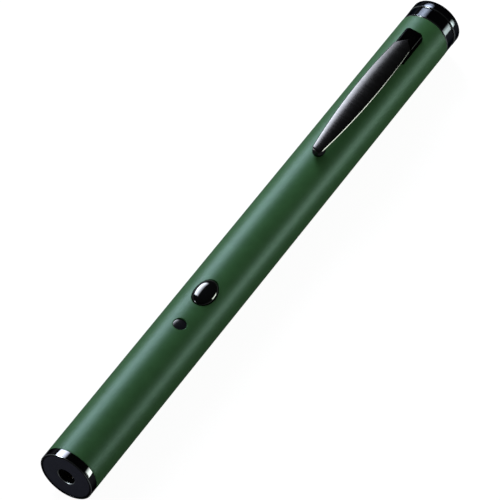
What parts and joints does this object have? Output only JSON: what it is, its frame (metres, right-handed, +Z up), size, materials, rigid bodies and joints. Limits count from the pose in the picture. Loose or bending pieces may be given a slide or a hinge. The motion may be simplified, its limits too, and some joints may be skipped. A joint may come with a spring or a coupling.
{
  "type": "laser pointer",
  "caption": "Slim pen-shaped laser pointer: a round barrel with a domed side button, an indicator, a sprung pocket clip, a nose aperture and a screw-on tail cap.",
  "frame": {"origin": "middle of the pen's length, on the surface that the barrel lies on", "axes": "+X along the pen from the nose to the tail cap; +Z up, through the button and the clip; +Y across"},
  "size_m": [0.1598, 0.013, 0.0164],
  "materials": {
    "green_metal": "satin metallic green coat with a fine grain",
    "black_chrome": "polished black chrome plate",
    "charcoal_metal": "flat charcoal coat with a fine texture",
    "clear_glass": "clear coated glass",
    "brass": "turned brass",
    "spring_steel": "drawn steel, plated",
    "crystal": "polished laser crystal",
    "board": "glass-fibre board under a green mask",
    "pale_plastic": "moulded natural plastic",
    "blue_plastic": "moulded blue plastic",
    "black_plastic": "moulded black epoxy",
    "gloss_black": "polished black",
    "smoked_lens": "smoked plastic, slightly dull",
    "lamp_resin": "diffused resin",
    "nickel": "nickel-plated steel can",
    "cell_sleeve": "shrunk plastic sleeve, plain",
    "seal_rubber": "black rubber"
  },
  "bodies": {
    "body": {"barrel": "green_metal", "nose_bezel": "black_chrome", "aperture_disc": "charcoal_metal", "aperture_window": "clear_glass", "module_housing": "brass", "lens_holder": "brass", "collimating_lens": "clear_glass", "infrared_filter": "clear_glass", "lens_spring": "spring_steel", "expander_lens": "clear_glass", "crystal_holder": "brass", "laser_crystal": "crystal", "pump_diode": "spring_steel", "diode_clamp_ring": "brass", "main_board": "board", "board_carrier": "pale_plastic", "trimmer": "blue_plastic", "driver_chip": "black_plastic", "chip_components": "black_plastic", "switch_body": "spring_steel", "indicator_lens": "smoked_lens", "indicator_led": "lamp_resin", "front_contact": "brass", "cell_front": "nickel", "cell_front_sleeve": "cell_sleeve", "cell_rear": "nickel", "cell_rear_sleeve": "cell_sleeve", "clip_base": "black_chrome", "clip_pin": "black_chrome", "clip_spring": "spring_steel"},
    "button": {"button_cap": "gloss_black", "switch_plunger": "pale_plastic"},
    "clip": {"clip_blade": "black_chrome"},
    "cap_carriage": {"tail_spring": "spring_steel"},
    "cap": {"tail_cap": "black_chrome", "cap_ring": "seal_rubber"}
  },
  "joints": [
    {"name": "button_press", "type": "slide", "parent": "body", "child": "button", "axis": [0, 0, -1], "range_m": [0, 0.00045], "stiffness_N_per_m": 1200, "springref_m": -0.0003},
    {"name": "clip_lift", "type": "hinge", "parent": "body", "child": "clip", "pos_m": [0.0603, 0, 0.0141], "axis": [0, 1, 0], "range_deg": [0, 8], "stiffness_Nm_per_rad": 0.1, "springref_deg": -22.92},
    {"name": "cap_travel", "type": "slide", "parent": "body", "child": "cap_carriage", "axis": [1, 0, 0], "range_m": [0, 0.0021]},
    {"name": "cap_turn", "type": "hinge", "parent": "cap_carriage", "child": "cap", "pos_m": [0.0741, 0, 0.0065], "axis": [1, 0, 0], "range_deg": [0, 990]}
  ],
  "couplings": [
    {"joint": "cap_travel", "follows": "cap_turn", "m_per_rad": 0.00011937}
  ]
}
